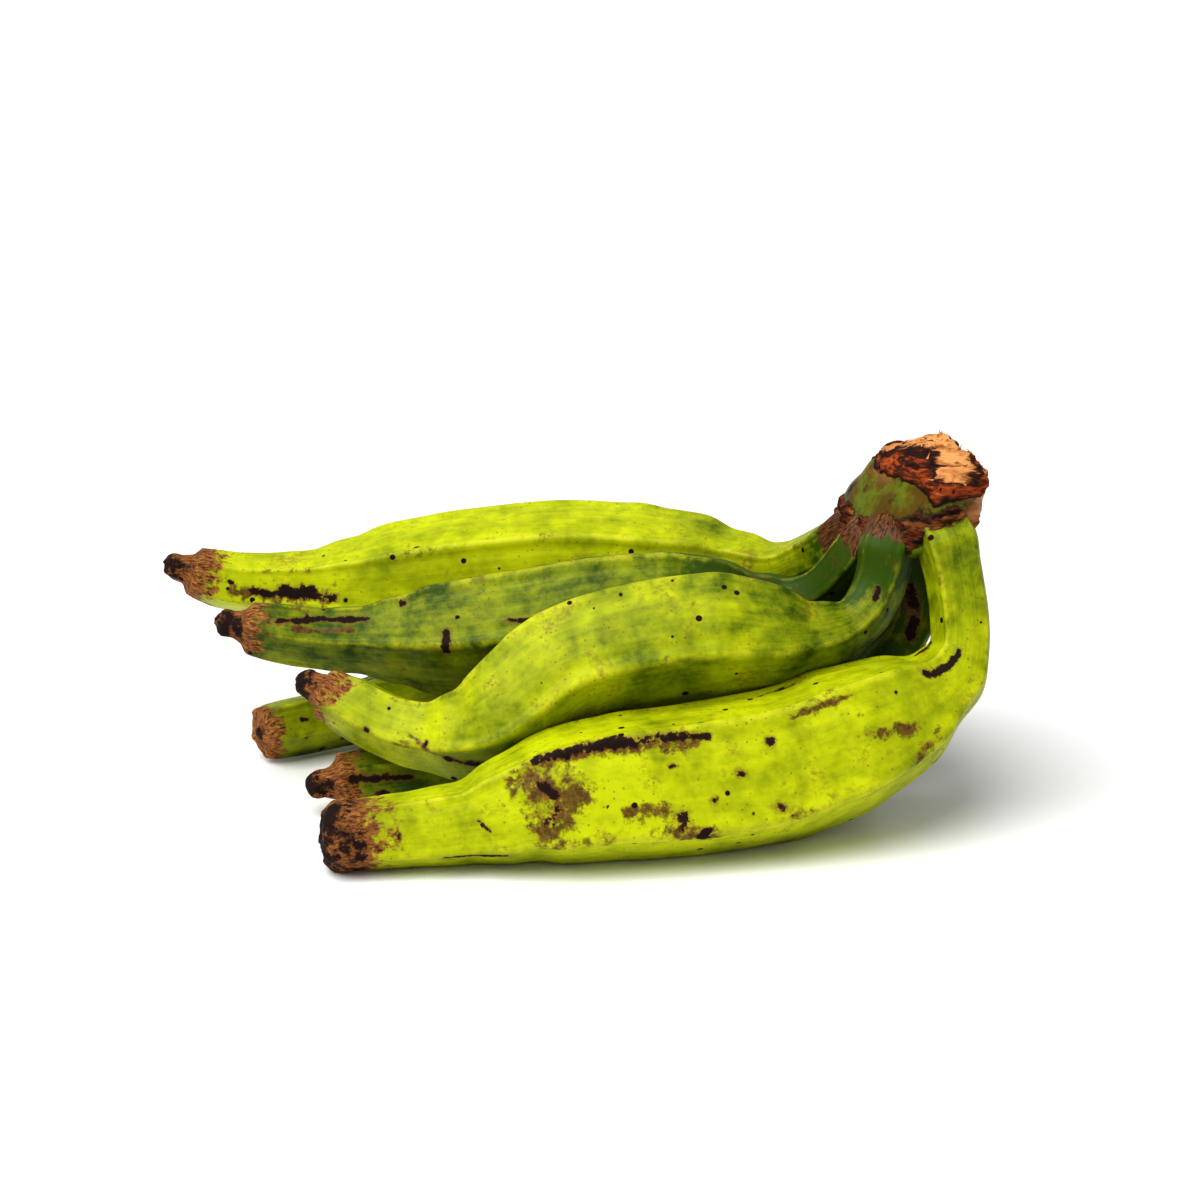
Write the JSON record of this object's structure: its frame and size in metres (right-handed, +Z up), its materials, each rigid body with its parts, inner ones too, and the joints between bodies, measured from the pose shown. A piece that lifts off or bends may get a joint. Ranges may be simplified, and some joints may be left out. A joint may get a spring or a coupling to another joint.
{
  "type": "hand of plantains",
  "caption": "Hand of unripe green plantains joined at a torn crown, lying on its lower row of curved, ridged fingers.",
  "frame": {"origin": "on the surface that the hand lies on, under the middle of its outline", "axes": "+X from the tips towards the crown, +Y from the front finger towards the rear finger, +Z up"},
  "size_m": [0.2928, 0.1968, 0.127],
  "materials": {
    "crown_rind": "matt olive rind, torn brown fibre on top",
    "lit_skin": "waxy lime-green peel with dark scars",
    "shaded_skin": "waxy deep-green peel with dark scars"
  },
  "bodies": {
    "root": {"crown": "crown_rind", "finger_front": "lit_skin", "finger_second": "shaded_skin", "finger_inner": "shaded_skin", "finger_rear": "shaded_skin", "finger_upper_front": "lit_skin", "finger_upper_middle": "shaded_skin", "finger_upper_rear": "lit_skin"}
  },
  "joints": []
}
